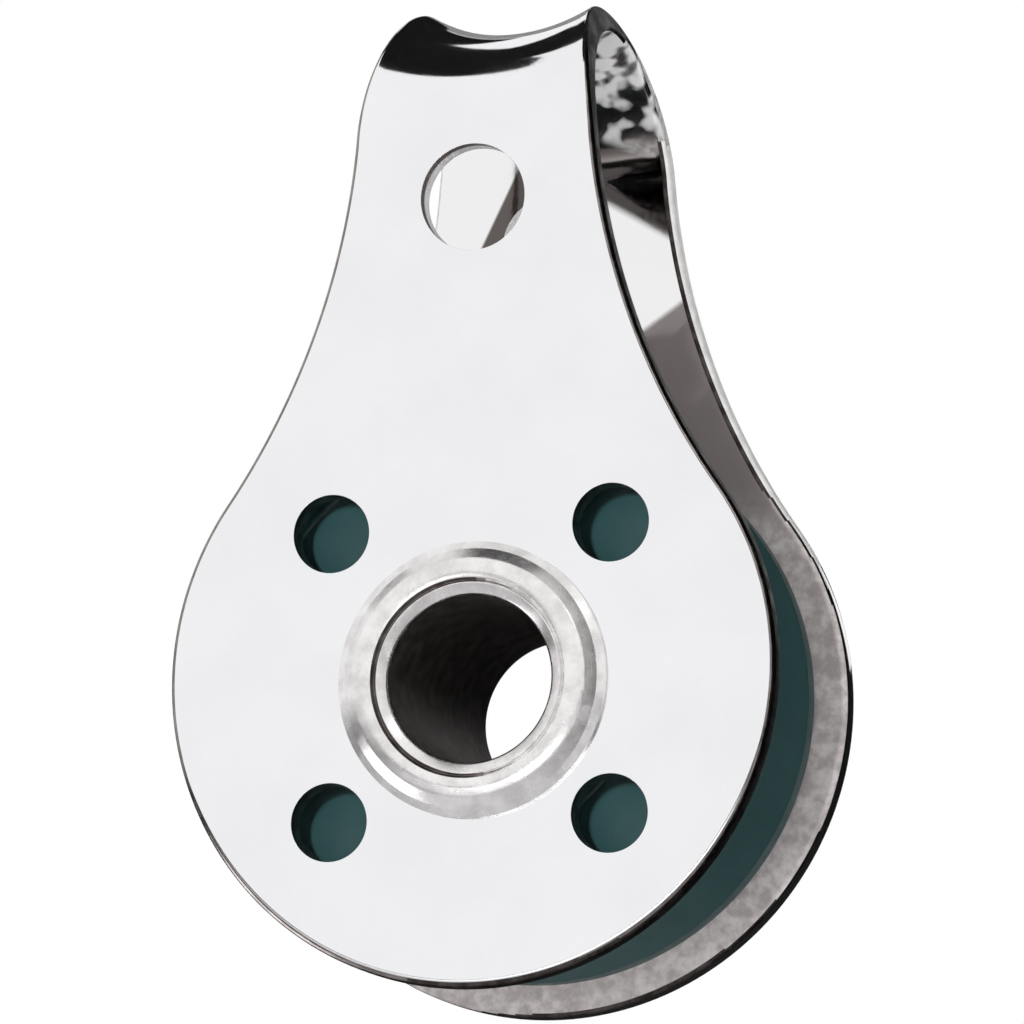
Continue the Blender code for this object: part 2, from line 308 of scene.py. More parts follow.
def flatNormal(tree, where, look, place):
    # Beside the pin hole the sheet stays flat a little longer than the rest of the bend, and is hollow there
    mask = slabMask(tree, where, look["flatWay"], look["flat"], place)
    geometry = addNode(tree, "ShaderNodeNewGeometry", (place[0], place[1] + 300))
    parts = addNode(tree, "ShaderNodeSeparateXYZ", (place[0] + 200, place[1] + 300))
    left = addNode(tree, "ShaderNodeMath", (place[0] + 400, place[1]), operation="SUBTRACT")
    left.inputs[0].default_value = 1.0
    lean = addNode(tree, "ShaderNodeMath", (place[0] + 600, place[1]), operation="MULTIPLY")
    tilt = heightMask(tree, where, look["tiltStart"], look["tiltEnd"], (place[0] + 400, place[1] - 300))
    down = addNode(tree, "ShaderNodeMath", (place[0] + 600, place[1] - 300), operation="MULTIPLY")
    fall = addNode(tree, "ShaderNodeMath", (place[0] + 700, place[1] - 300), operation="MULTIPLY_ADD")
    fall.inputs[1].default_value = -look["tilt"]
    side = slabMask(tree, where, (1, 0, 0), look["tiltSide"], (place[0] + 200, place[1] - 700))
    sideways = addNode(tree, "ShaderNodeMath", (place[0] + 400, place[1] - 600), operation="MULTIPLY")
    outer = slabMask(tree, where, (1, 0, 0), look["turnSide"], (place[0] + 200, place[1] - 1300))
    turned = addNode(tree, "ShaderNodeMath", (place[0] + 700, place[1] - 600), operation="MULTIPLY_ADD")
    turned.inputs[1].default_value = -look["turn"]
    joined = addNode(tree, "ShaderNodeCombineXYZ", (place[0] + 800, place[1] + 300))
    level = addNode(tree, "ShaderNodeVectorMath", (place[0] + 1000, place[1] + 300), operation="NORMALIZE")
    tree.links.new(geometry.outputs["Normal"], parts.inputs["Vector"])
    tree.links.new(mask, left.inputs[1])
    tree.links.new(parts.outputs["Z"], lean.inputs[0])
    tree.links.new(left.outputs["Value"], lean.inputs[1])
    tree.links.new(turned.outputs["Value"], joined.inputs["X"])
    tree.links.new(parts.outputs["Y"], joined.inputs["Y"])
    tree.links.new(tilt, sideways.inputs[0])
    tree.links.new(side, sideways.inputs[1])
    tree.links.new(sideways.outputs["Value"], down.inputs[0])
    tree.links.new(mask, down.inputs[1])
    tree.links.new(outer, turned.inputs[0])
    tree.links.new(parts.outputs["X"], turned.inputs[2])
    tree.links.new(down.outputs["Value"], fall.inputs[0])
    tree.links.new(lean.outputs["Value"], fall.inputs[2])
    tree.links.new(fall.outputs["Value"], joined.inputs["Z"])
    tree.links.new(joined.outputs["Vector"], level.inputs[0])
    return level.outputs["Vector"]


def makeInsideSteel(name, look):
    # Between the cheeks: polished at the neck, uneven where the sheet was bent, with painted shade and pale
    # patches of painted highlight there, zones of painted shade over the polish, dull round the sheave
    material, tree, shader, where = newMaterial(name)
    low = heightMask(tree, where, look["dullStart"], look["dullEnd"], (-700, 900))
    bent = slabMask(tree, where, look["bentWay"], look["bent"], (-700, 1200))
    pale = heightMask(tree, where, look["paleStart"], look["paleEnd"], (-700, 1500))
    tint = useGroup(tree, clouds, (-500, 300), Scale=look["blotchScale"], Low=0.0, High=1.0)
    dull = useGroup(
        tree, clouds, (-500, 0), Scale=look["dullScale"], Low=look["dullLow"], High=look["dullHigh"]
    )
    waves = useGroup(tree, clouds, (-500, -300), Scale=look["waveScale"], Low=0.0, High=1.0)
    dents = useGroup(
        tree, clouds, (-500, -600), Scale=look["dentScale"], Low=0.0, High=1.0, Detail=look["dentDetail"]
    )
    for node in (tint, dull, waves, dents):
        tree.links.new(where, node.inputs["Vector"])

    # Zones of painted shade, each between planes, painted over the polish one after another
    colour = None
    metal = 1.0
    for i, (tone, share, slabs) in enumerate(look["paintedShadeZones"]):
        mask = None
        for j, (direction, edges) in enumerate(slabs):
            part = slabMask(tree, where, direction, edges, (-1200 - 600 * i, 900 - 500 * j))
            if mask is None:
                mask = part
                continue
            product = addNode(tree, "ShaderNodeMath", (-900 - 600 * i, 900 - 500 * j), operation="MULTIPLY")
            tree.links.new(mask, product.inputs[0])
            tree.links.new(part, product.inputs[1])
            mask = product.outputs["Value"]
        paintedShadeMix = addNode(tree, "ShaderNodeMix", (-900 - 600 * i, 1200), data_type="RGBA")
        paintedShadeMix.inputs[6].default_value = (*look["polished"], 1)
        paintedShadeMix.inputs[7].default_value = (*tone, 1)
        tree.links.new(mask, paintedShadeMix.inputs[0])
        if colour is not None:
            tree.links.new(colour, paintedShadeMix.inputs[6])
        colour = paintedShadeMix.outputs[2]
        metal = blendValues(tree, mask, metal, share, (-900 - 600 * i, 1500))

    stain = addNode(tree, "ShaderNodeMix", (-300, 300), data_type="RGBA")
    stain.inputs[6].default_value = (*look["stainDark"], 1)
    stain.inputs[7].default_value = (*look["stainLight"], 1)
    paint = addNode(tree, "ShaderNodeMix", (-100, 300), data_type="RGBA")
    tree.links.new(tint.outputs["Value"], stain.inputs[0])
    tree.links.new(low, paint.inputs[0])
    tree.links.new(colour, paint.inputs[6])
    tree.links.new(stain.outputs[2], paint.inputs[7])

    # In the bend the steel gets a darker tone as painted shade, broken by pale patches of painted highlight,
    # paler towards the top
    level = blendValues(tree, pale, look["patchLow"], look["patchTop"], (-300, 1500))
    over = addNode(tree, "ShaderNodeMath", (-100, 1500), operation="SUBTRACT")
    sharp = addNode(tree, "ShaderNodeMapRange", (50, 1500), interpolation_type="SMOOTHSTEP")
    sharp.inputs["From Min"].default_value = -look["patchBlur"]
    sharp.inputs["From Max"].default_value = look["patchBlur"]
    patch = addNode(tree, "ShaderNodeMath", (200, 1500), operation="MULTIPLY")
    tree.links.new(dents.outputs["Value"], over.inputs[0])
    tree.links.new(level, over.inputs[1])
    tree.links.new(over.outputs["Value"], sharp.inputs["Value"])
    tree.links.new(sharp.outputs["Result"], patch.inputs[0])
    tree.links.new(bent, patch.inputs[1])
    bendShade = addNode(tree, "ShaderNodeMix", (100, 600), data_type="RGBA")
    bendShade.inputs[7].default_value = (*look["bendShadeTone"], 1)
    lit = addNode(tree, "ShaderNodeMix", (300, 600), data_type="RGBA")
    lit.inputs[7].default_value = (*look["bendHighlightTone"], 1)
    tree.links.new(bent, bendShade.inputs[0])
    tree.links.new(paint.outputs[2], bendShade.inputs[6])
    tree.links.new(patch.outputs["Value"], lit.inputs[0])
    tree.links.new(bendShade.outputs[2], lit.inputs[6])
    tree.links.new(lit.outputs[2], shader.inputs["Base Color"])

    bright = blendValues(tree, bent, look["polishedRough"], look["bentRough"], (-300, 0))
    rough = blendValues(tree, low, bright, dull.outputs["Value"], (-100, 0))
    frosted = blendValues(tree, patch.outputs["Value"], rough, look["patchRough"], (100, 0))
    tree.links.new(frosted, shader.inputs["Roughness"])
    dusty = blendValues(tree, low, metal, look["dullMetal"], (-100, -900))
    bare = blendValues(tree, patch.outputs["Value"], dusty, look["patchMetal"], (100, -900))
    tree.links.new(bare, shader.inputs["Metallic"])
    dentHeight = blendValues(tree, bent, 0.0, dents.outputs["Value"], (-100, -600))
    flat = flatNormal(tree, where, look, (-1200, -1500))
    wavy = addBump(tree, shader, waves.outputs["Value"], 1.0, look["waveHeight"], flat)
    addBump(tree, shader, dentHeight, 1.0, look["dentHeight"], wavy)
    return material


def addWallShade(material, look):
    # Paints shade onto the outer edge of the pin hole's wall, on its left and at its top
    tree = material.node_tree
    shader = tree.nodes["Principled BSDF"]
    where = tree.nodes["Texture Coordinate"].outputs["Object"]
    unshadedColour = shader.inputs["Base Color"].links[0].from_socket
    outer = slabMask(tree, where, (0, 1, 0), look["outer"], (-500, 900))
    side = slabMask(tree, where, look["sideWay"], look["side"], (-500, 1500))
    both = addNode(tree, "ShaderNodeMath", (0, 900), operation="MULTIPLY")
    mix = addNode(tree, "ShaderNodeMix", (200, 600), data_type="RGBA")
    mix.inputs[7].default_value = (*look["dark"], 1)
    tree.links.new(outer, both.inputs[0])
    tree.links.new(side, both.inputs[1])
    tree.links.new(both.outputs["Value"], mix.inputs[0])
    tree.links.new(unshadedColour, mix.inputs[6])
    tree.links.new(mix.outputs[2], shader.inputs["Base Color"])


mirrorSteel = makeSteel("mirrorSteel", {
    "metal": 1.0,
    "darker": (0.84, 0.84, 0.855), "lighter": (0.87, 0.87, 0.885), "blotchScale": 260,
    "roughScale": 500, "roughLow": 0.05, "roughHigh": 0.09,
    "lineFineness": 14000, "lineDepth": -0.0000004, "waveScale": 170, "waveHeight": 0.000002,
})
insideSteel = makeInsideSteel("insideSteel", {
    "polished": (0.86, 0.855, 0.86), "polishedRough": 0.06,
    "dullStart": -0.011, "dullEnd": -0.0145,
    "stainDark": (0.56, 0.51, 0.50), "stainLight": (0.88, 0.83, 0.82), "blotchScale": 1700,
    "dullScale": 1800, "dullLow": 0.60, "dullHigh": 0.80, "dullMetal": 0.45,
    "bentWay": (0.287, 0, 0.958), "bent": (0.0049, 0.0055, 0.9, 1), "bentRough": 0.22,
    "flatWay": (0.6, 0, 0.8), "flat": (-1, -0.9, 0.0029, 0.0040),
    "tilt": 0.11, "tiltStart": -0.0012, "tiltEnd": 0.0024, "tiltSide": (0.0004, 0.0014, 0.9, 1),
    "turn": 0.05, "turnSide": (0.0036, 0.0062, 0.9, 1),
    "dentScale": 1300, "dentDetail": 0.6, "dentHeight": 0.00002,
    "paleStart": 0.0060, "paleEnd": 0.0072, "patchLow": 0.76, "patchTop": 0.30, "patchBlur": 0.34,
    "bendShadeTone": (0.34, 0.315, 0.31), "bendHighlightTone": (0.95, 0.945, 0.945),
    "patchRough": 0.6, "patchMetal": 0.2,
    "waveScale": 300, "waveHeight": 0.000004,
    "paintedShadeZones": [
        # Painted shade under the pin hole's mirror image, where the steel is also less metallic
        ((0.36, 0.322, 0.317), 0.15, [((-0.5606, 0, 0.828), (-1, -0.9, -0.00595, -0.0056))]),
        # Painted shade over it, where the sheet starts to bend
        ((0.10, 0.088, 0.086), 1.0, [
            ((0.506, 0, 0.863), (0.0027, 0.0032, 0.9, 1)),
            ((1, 0, 0), (0.0008, 0.0014, 0.9, 1)),
        ]),
        # Painted shade beside the back cheek's pin hole, seen through the front one
        ((0.12, 0.105, 0.10), 1.0, [
            ((0.898, 0, -0.440), (-0.00317, -0.00302, -0.0009, -0.0001)),
            ((0, 1, 0), (0.0040, 0.0050, 0.0080, 0.0090)),
            ((0, 0, 1), (-0.0050, -0.0040, 0.0036, 0.0042)),
        ]),
    ],
})
edgeSteel = makeSteel("edgeSteel", {
    "metal": 1.0,
    "darker": (0.17, 0.15, 0.146), "lighter": (0.29, 0.265, 0.258), "blotchScale": 1200,
    "roughScale": 1200, "roughLow": 0.16, "roughHigh": 0.26,
    "lineFineness": 9000, "lineDepth": -0.000001, "waveScale": 900, "waveHeight": 0.000004,
})
# Near-black steel: painted shade and painted dark reflection on the strap's inner rounds, front edges, foot,
# loop top and hole walls
shadeSteel = makeSteel("shadeSteel", {
    "metal": 1.0,
    "darker": (0.035, 0.029, 0.027), "lighter": (0.10, 0.088, 0.084), "blotchScale": 1500,
    "roughScale": 1200, "roughLow": 0.35, "roughHigh": 0.55,
    "lineFineness": 9000, "lineDepth": -0.000001, "waveScale": 900, "waveHeight": 0.000006,
})
# Pale, nearly matte steel of the sheared faces: a real cut finish, painted paler as a painted reflection
shearSheenSteel = makeSteel("shearSheenSteel", {
    "metal": 0.15,
    "darker": (0.80, 0.785, 0.78), "lighter": (0.96, 0.955, 0.95), "blotchScale": 1500,
    "roughScale": 1200, "roughLow": 0.35, "roughHigh": 0.50,
    "lineFineness": 9000, "lineDepth": -0.000001, "waveScale": 900, "waveHeight": 0.000004,
})
# Painted shade on the outer edge of the pin hole's wall
addWallShade(shearSheenSteel, {
    "outer": (-0.0071, -0.0070, -0.00640, -0.00615), "sideWay": (-0.66, 0, 0.75),
    "side": (-0.0009, 0.0006, 0.9, 1), "dark": (0.11, 0.095, 0.09),
})
rolledSteel = makeSteel("rolledSteel", {
    "metal": 1.0,
    "darker": (0.70, 0.68, 0.675), "lighter": (0.88, 0.865, 0.86), "blotchScale": 1000,
    "roughScale": 1300, "roughLow": 0.22, "roughHigh": 0.30,
    "lineFineness": 9000, "lineDepth": -0.000001, "waveScale": 700, "waveHeight": 0.000006,
})
# Dark steel for the bore: painted shade inside the tube
boreShadeSteel = makeSteel("boreShadeSteel", {
    "metal": 1.0,
    "darker": (0.13, 0.115, 0.11), "lighter": (0.26, 0.232, 0.222), "blotchScale": 1500,
    "roughScale": 1500, "roughLow": 0.50, "roughHigh": 0.65,
    "lineFineness": 6000, "lineDepth": -0.000002, "waveScale": 1200, "waveHeight": 0.000010,
})


def makePlastic(name, look):
    # Moulded plastic: even colour with a fine grain and a trace of polish from the wire
    material, tree, shader, where = newMaterial(name)
    tint = useGroup(tree, clouds, (-500, 300), Scale=look["blotchScale"], Low=0.0, High=1.0)
    mix = addNode(tree, "ShaderNodeMix", (-100, 300), data_type="RGBA")
    mix.inputs[6].default_value = (*look["darker"], 1)
    mix.inputs[7].default_value = (*look["lighter"], 1)
    rough = useGroup(
        tree, clouds, (-500, 0), Scale=look["roughScale"], Low=look["roughLow"], High=look["roughHigh"]
    )
    grain = useGroup(tree, clouds, (-500, -400), Scale=look["grainScale"], Low=0.0, High=1.0)
    for node in (tint, rough, grain):
        tree.links.new(where, node.inputs["Vector"])
    tree.links.new(tint.outputs["Value"], mix.inputs[0])
    tree.links.new(mix.outputs[2], shader.inputs["Base Color"])
    tree.links.new(rough.outputs["Value"], shader.inputs["Roughness"])
    shader.inputs["Specular IOR Level"].default_value = 0.5
    addBump(tree, shader, grain.outputs["Value"], 1.0, look["grainHeight"])
    return material


tealPlastic = makePlastic("tealPlastic", {
    "darker": (0.014, 0.043, 0.045), "lighter": (0.017, 0.049, 0.051), "blotchScale": 500,
    "roughScale": 900, "roughLow": 0.42, "roughHigh": 0.52,
    "grainScale": 9000, "grainHeight": 0.000003,
})
print("materials made")


# Modelling helpers

smoothAngle = 35  # degrees, sharper edges than this stay crisp
sharpAngle = 60  # degrees, edges that get a round
roundStep = 8  # degrees of a rounded corner in one step


def choose(piece):
    bpy.ops.object.select_all(action="DESELECT")
    piece.select_set(True)
    bpy.context.view_layer.objects.active = piece


def startEdit(piece):
    choose(piece)
    bpy.ops.object.mode_set(mode="EDIT")
    bpy.ops.mesh.select_mode(type="VERT")


def pick(piece, test):
    # Selects the vertices whose place passes the test, with the edges between them
    bpy.ops.mesh.select_mode(type="VERT")
    bpy.ops.mesh.select_all(action="DESELECT")
    bpy.ops.object.mode_set(mode="OBJECT")
    for vertex in piece.data.vertices:
        vertex.select = bool(test(vertex.co))
    bpy.ops.object.mode_set(mode="EDIT")


def ramp(value, start, end):
    # 0 at the start and before it, 1 at the end and past it
    return min(max((value - start) / (end - start), 0), 1)


def near(a, b, reach):
    return abs(a - b) < reach


def settle(piece):
    # Puts the place into the mesh, with the object at the origin
    bpy.ops.object.mode_set(mode="OBJECT")
    choose(piece)
    bpy.ops.object.transform_apply(location=True, rotation=True, scale=True)


def applyModifier(piece, kind, name, **values):
    modifier = piece.modifiers.new(name, kind)
    for key, value in values.items():
        setattr(modifier, key, value)
    choose(piece)
    bpy.ops.object.modifier_apply(modifier=name)


def turnSection(name, section, steps):
    # A closed section of (radius, y) points made round the axle by extruding one ring after another
    bpy.ops.object.select_all(action="DESELECT")
    firstRadius, firstY = section[0]
    bpy.ops.mesh.primitive_circle_add(
        vertices=steps, radius=firstRadius, location=axleCentre + Vector((0, firstY, 0)),
        rotation=(math.pi / 2, 0, 0),
    )
    piece = bpy.context.object
    piece.name = name
    settle(piece)
    startEdit(piece)
    bpy.ops.mesh.select_all(action="SELECT")
    for (radius, y), (nextRadius, nextY) in zip(section, section[1:] + section[:1]):
        bpy.ops.mesh.extrude_edges_indiv()
        bpy.ops.transform.translate(value=(0, nextY - y, 0))
        grow = nextRadius / radius
        bpy.ops.transform.resize(value=(grow, 1, grow), center_override=(0, nextY, axleCentre.z))
    bpy.ops.mesh.select_all(action="SELECT")
    bpy.ops.mesh.remove_doubles(threshold=mergeDistance)
    bpy.ops.mesh.normals_make_consistent(inside=False)
    bpy.ops.object.mode_set(mode="OBJECT")
    return piece


def soften(corners):
    # Rounds each corner (radius, y, round) of a closed section with an arc that touches both sides
    points = []
    for i, (radius, y, size) in enumerate(corners):
        here = Vector((radius, y))
        before = (Vector(corners[i - 1][:2]) - here).normalized()
        after = (Vector(corners[(i + 1) % len(corners)][:2]) - here).normalized()
        if size == 0:
            points.append((radius, y))
            continue
        opening = before.angle(after)
        middle = here + (before + after).normalized() * size / math.sin(opening / 2)
        start = here + before * size / math.tan(opening / 2) - middle
        end = here + after * size / math.tan(opening / 2) - middle
        sweep = math.pi - opening
        turnWay = 1 if start.x * end.y - start.y * end.x > 0 else -1
        steps = max(3, round(math.degrees(sweep) / roundStep))
        for j in range(steps + 1):
            turn = turnWay * sweep * j / steps
            x = start.x * math.cos(turn) - start.y * math.sin(turn)
            z = start.x * math.sin(turn) + start.y * math.cos(turn)
            points.append((middle.x + x, middle.y + z))
    return points


def shade(piece):
    choose(piece)
    bpy.ops.object.shade_smooth_by_angle(angle=math.radians(smoothAngle))
    applyModifier(piece, "WEIGHTED_NORMAL", "even normals", keep_sharp=True, weight=50)


# Strap: one sheet folded over the head, drawn as the front half and mirrored to the back

strapSteels = (mirrorSteel, insideSteel, edgeSteel, shadeSteel, shearSheenSteel)
mirrorSlot, insideSlot, edgeSlot, shadeSlot, shearSheenSlot = range(len(strapSteels))
strapLook = {
    "thickness": 0.00125,
    "edgeRound": 0.00035,
    "edgeSteps": 8,
    "crispHead": 0.35,  # share of the round that is left at the top of the loop
    "polishedFacing": 0.955,  # a facing is 1 outwards, 0 along the sheet and -1 inwards
    "shadeFacing": 0.35,
    "darkLineFacing": 0.62,
    "darkLineRise": 0.32,
    "darkLineHeights": (-0.027, -0.0335),
    "darkLineEnds": (-0.0062, -0.0005),
    "stripStart": -0.0115,
    "stripEnd": -0.0170,
    "stripMiddle": -0.22,
    "stripHalf": 0.58,
    "lineWidth": 0.38,
    "flareZ": 0.0046,
    "darkTop": 0.0014,
    "apexZ": 0.0070,
    "footRise": 0.007,
    "footZ": -0.0345,
    "footX": -0.0028,
    "ringPoints": 216,
    "flankRadius": 0.0332,
    "flankAngle": 35,  # above the horizontal, where the flank leaves the cheek's circle
    "flankSteps": 40,
    "bendZ": 0.0029,
    "bendSteps": 36,
    "columns": 18,
    "headHalfWidth": 0.0040,
    "saddleDepth": 0.0012,
    "pinHoleRadius": 0.0024,
    "axleHoleRadius": 0.00485,
    "washHoleRadius": 0.00175,
    "washRingRadius": 0.0091,
    "washHoles": 4,
    "firstWashHole": 45,  # degrees above the horizontal
    "holePoints": 96,
    "washHolePoints": 72,
    "holeEdge": 0.00012,
}


def drillHole(piece, name, radius, x, z, points, slot):
    bpy.ops.object.select_all(action="DESELECT")
    bpy.ops.mesh.primitive_cylinder_add(
        vertices=points, radius=radius, depth=4 * cheekOuterY, location=(x, 0, z),
        rotation=(math.pi / 2, 0, 0),
    )
    drill = bpy.context.object
    drill.name = name
    settle(drill)
    for material in piece.data.materials:
        drill.data.materials.append(material)
    for face in drill.data.polygons:
        face.material_index = slot
    applyModifier(piece, "BOOLEAN", name, operation="DIFFERENCE", solver="EXACT", object=drill)
    bpy.data.objects.remove(drill, do_unlink=True)


def narrowHead(strap, look, bendHalfWidth, bendSlope):
    # Each row round the loop is squeezed to its own width, a smooth curve from the neck to the top
    run = cheekOuterY * math.pi / 2
    for i in range(1, look["bendSteps"] + 1):
        share = i / look["bendSteps"]
        turn = share * math.pi / 2
        rowY = -cheekOuterY * math.cos(turn)
        rowZ = look["bendZ"] + cheekOuterY * math.sin(turn)
        halfWidth = (
            bendHalfWidth * (2 * share**3 - 3 * share**2 + 1)
            + bendSlope * run * (share**3 - 2 * share**2 + share)
            + look["headHalfWidth"] * (3 * share**2 - 2 * share**3)
        )
        pick(strap, lambda co: near(co.y, rowY, rowReach) and near(co.z, rowZ, rowReach))
        squeeze = halfWidth / bendHalfWidth
        bpy.ops.transform.resize(value=(squeeze, 1, 1), center_override=(0, rowY, rowZ))


def weighSaddle(strap, look):
    # How much each point of the loop sags: nothing at its edges, most in the middle of the top
    group = strap.vertex_groups.new(name="saddle")
    widths = {}
    for vertex in strap.data.vertices:
        if vertex.co.z > look["bendZ"] - mergeDistance:
            row = round(math.degrees(math.atan2(vertex.co.z - look["bendZ"], -vertex.co.y)), 1)
            widths[row] = max(widths.get(row, 0), abs(vertex.co.x))
    for vertex in strap.data.vertices:
        if vertex.co.z > look["bendZ"] - mergeDistance:
            turn = math.atan2(vertex.co.z - look["bendZ"], -vertex.co.y)
            across = vertex.co.x / widths[round(math.degrees(turn), 1)]
            group.add([vertex.index], max(0, 1 - across**2) * math.sin(turn) ** 2, "REPLACE")


def weighEdges(strap, look):
    # Every sharp edge gets the full round, less so round the top of the loop, where it stays crisper
    sides = {}
    for face in strap.data.polygons:
        for key in face.edge_keys:
            sides.setdefault(key, []).append(face.normal)
    weights = strap.data.attributes.new("bevel_weight_edge", "FLOAT", "EDGE")
    points = strap.data.vertices
    for edge in strap.data.edges:
        one, other = sides[edge.key]
        if one.angle(other) < math.radians(sharpAngle):
            continue
        height = (points[edge.vertices[0]].co.z + points[edge.vertices[1]].co.z) / 2
        share = ramp(height, look["bendZ"], strapHigh.z)
        weights.data[edge.index].value = 1 - (1 - look["crispHead"]) * share


def paintEdges(strap, look):
    # Outside the round is polished with the face. The near-black steel on the inner round, the front edges,
    # the front cheek's foot and the front of the loop's top is painted shade and painted dark reflection
    for face in strap.data.polygons:
        if face.material_index != edgeSlot:
            continue
        outward = Vector((0, face.center.y, 0))
        if face.center.z > look["bendZ"]:
            outward.z = face.center.z - look["bendZ"]
        facing = face.normal.dot(outward.normalized())
        loop = face.center.z > look["flareZ"]
        behind = face.center.y > (look["darkTop"] if loop else 0)
        footTop = look["footZ"] + (look["polishedFacing"] - facing) * look["footRise"]
        foot = not behind and face.center.z < footTop and face.center.x > look["footX"]
        if facing > look["polishedFacing"]:
            face.material_index = mirrorSlot
        elif face.center.z > look["apexZ"] and face.center.y < look["darkTop"]:
            face.material_index = shadeSlot
        elif facing > look["shadeFacing"]:
            face.material_index = shadeSlot if foot else edgeSlot
        elif not behind:
            face.material_index = shadeSlot
        elif loop:
            face.material_index = insideSlot
        else:
            # The pale sheared strip and the dark line of painted shade beside it run out where the flank
            # meets the cheek's circle
            share = ramp(face.center.z, look["stripEnd"], look["stripStart"])
            darkLineReach = look["darkLineFacing"] + look["darkLineRise"] * ramp(face.center.z, *look["darkLineHeights"])
            darkLineReach *= ramp(face.center.x, *look["darkLineEnds"])
            if abs(facing - look["stripMiddle"]) < look["stripHalf"] * share:
                face.material_index = shearSheenSlot
            elif facing > -look["shadeFacing"]:
                face.material_index = mirrorSlot
            elif share > 0:
                lined = face.center.x > 0 and facing > -1 + look["lineWidth"] * (1 - share)
                face.material_index = shadeSlot if lined else insideSlot
            else:
                face.material_index = shadeSlot if facing > -darkLineReach else insideSlot


def makeStrap():
    look = strapLook
    leave = math.radians(look["flankAngle"])
    reach = cheekRadius + look["flankRadius"]
    flankX = reach * math.cos(leave)
    flankZ = axleCentre.z + reach * math.sin(leave)
    leaveX = cheekRadius * math.cos(leave)
    leaveZ = axleCentre.z + cheekRadius * math.sin(leave)
    flankTurn = leave - math.asin((flankZ - look["bendZ"]) / look["flankRadius"])
    bendHalfWidth = flankX - look["flankRadius"] * math.cos(leave - flankTurn)
    bendSlope = -math.tan(leave - flankTurn)

    bpy.ops.object.select_all(action="DESELECT")
    bpy.ops.mesh.primitive_circle_add(
        vertices=look["ringPoints"], radius=cheekRadius, location=(0, -cheekOuterY, axleCentre.z),
        rotation=(math.pi / 2, 0, 0),
    )
    strap = bpy.context.object
    strap.name = "polishedStrap"
    settle(strap)
    startEdit(strap)
    pick(strap, lambda co: co.z > leaveZ + pickReach)
    bpy.ops.mesh.delete(type="VERT")
    for side in (1, -1):
        pick(strap, lambda co: near(co.x, side * leaveX, pickReach) and near(co.z, leaveZ, pickReach))
        bpy.ops.mesh.spin(
            steps=look["flankSteps"], angle=-side * flankTurn, center=(side * flankX, -cheekOuterY, flankZ),
            axis=(0, 1, 0),
        )
    bpy.ops.mesh.select_all(action="SELECT")
    bpy.ops.mesh.remove_doubles(threshold=mergeDistance)
    bpy.ops.mesh.edge_face_add()
    pick(strap, lambda co: near(co.z, look["bendZ"], pickReach))
    bpy.ops.mesh.subdivide(number_cuts=look["columns"] - 1)
    pick(strap, lambda co: near(co.z, look["bendZ"], pickReach))
    bpy.ops.mesh.spin(
        steps=look["bendSteps"], angle=math.pi / 2, center=(0, 0, look["bendZ"]), axis=(1, 0, 0)
    )
    narrowHead(strap, look, bendHalfWidth, bendSlope)
    bpy.ops.mesh.select_all(action="SELECT")
    bpy.ops.mesh.remove_doubles(threshold=mergeDistance)
    bpy.ops.mesh.normals_make_consistent(inside=False)
    bpy.ops.object.mode_set(mode="OBJECT")
    weighSaddle(strap, look)
    applyModifier(strap, "MIRROR", "back half", use_axis=(False, True, False), merge_threshold=mergeDistance)
    applyModifier(
        strap, "DISPLACE", "saddle", vertex_group="saddle", strength=-look["saddleDepth"], mid_level=0.0
    )
    for steel in strapSteels:
        strap.data.materials.append(steel)
    applyModifier(
        strap, "SOLIDIFY", "sheet", thickness=look["thickness"], offset=-1, use_even_offset=True,
        material_offset=insideSlot, material_offset_rim=edgeSlot,
    )
    weighEdges(strap, look)
    applyModifier(
        strap, "BEVEL", "edge round", width=look["edgeRound"], segments=look["edgeSteps"],
        limit_method="WEIGHT", material=edgeSlot,
    )
    paintEdges(strap, look)
    points = look["holePoints"]
    # The walls of the axle hole and the wash holes get the near-black steel as painted shade; the pin hole's
    # wall gets the pale sheared steel
    drillHole(strap, "pinHole", look["pinHoleRadius"], 0, 0, points, shearSheenSlot)
    drillHole(strap, "axleHole", look["axleHoleRadius"], 0, axleCentre.z, points, shadeSlot)
    for i in range(look["washHoles"]):
        turn = math.radians(look["firstWashHole"] + 360 / look["washHoles"] * i)
        x = look["washRingRadius"] * math.cos(turn)
        z = look["washRingRadius"] * math.sin(turn) + axleCentre.z
        name = f"washHole{i + 1}"
        drillHole(strap, name, look["washHoleRadius"], x, z, look["washHolePoints"], shadeSlot)
    applyModifier(
        strap, "BEVEL", "hole edges", width=look["holeEdge"], segments=3, limit_method="ANGLE",
        angle_limit=math.radians(sharpAngle),
    )
    shade(strap)
    return strap


strap = makeStrap()
print("strap made:", len(strap.data.polygons), "faces")


# Hollow axle: a tube with both ends rolled outwards over the cheeks

axleSteels = (rolledSteel, boreShadeSteel, edgeSteel)
boreShadeSlot = axleSteels.index(boreShadeSteel)
creaseShadeSlot = axleSteels.index(edgeSteel)
axleLook = {
    "boreRadius": 0.00372,
    "boreReach": 1.004,  # times the bore's radius, as far as it is painted
    "tubeRadius": 0.0048,
    "mouthDrop": 0.00047,  # from the top of the lip down to where the bore begins
    "creaseInner": 0.00424,
    "creaseRadius": 0.00434,
    "creaseOuter": 0.00446,
    "creaseDepth": 0.00014,
    "creaseHalf": 0.00012,
    "creaseShadeFade": (0.0022, -0.0016),  # the painted shade in the crease fades out towards its right side
    "shoulderDrop": 0.00013,
    "rolledAside": (0.00017, 0, -0.00034),  # lips and bore, to where the fitted camera shows them
    "topRadius": 0.0048,
    "shoulderRadius": 0.0053,
    "turnRadius": 0.00580,
    "turnDrop": 0.00057,
    "lipRadius": 0.00614,
    "footDrop": 0.00076,
    "seatGap": 0.00002,
    "ringSteps": 144,
}


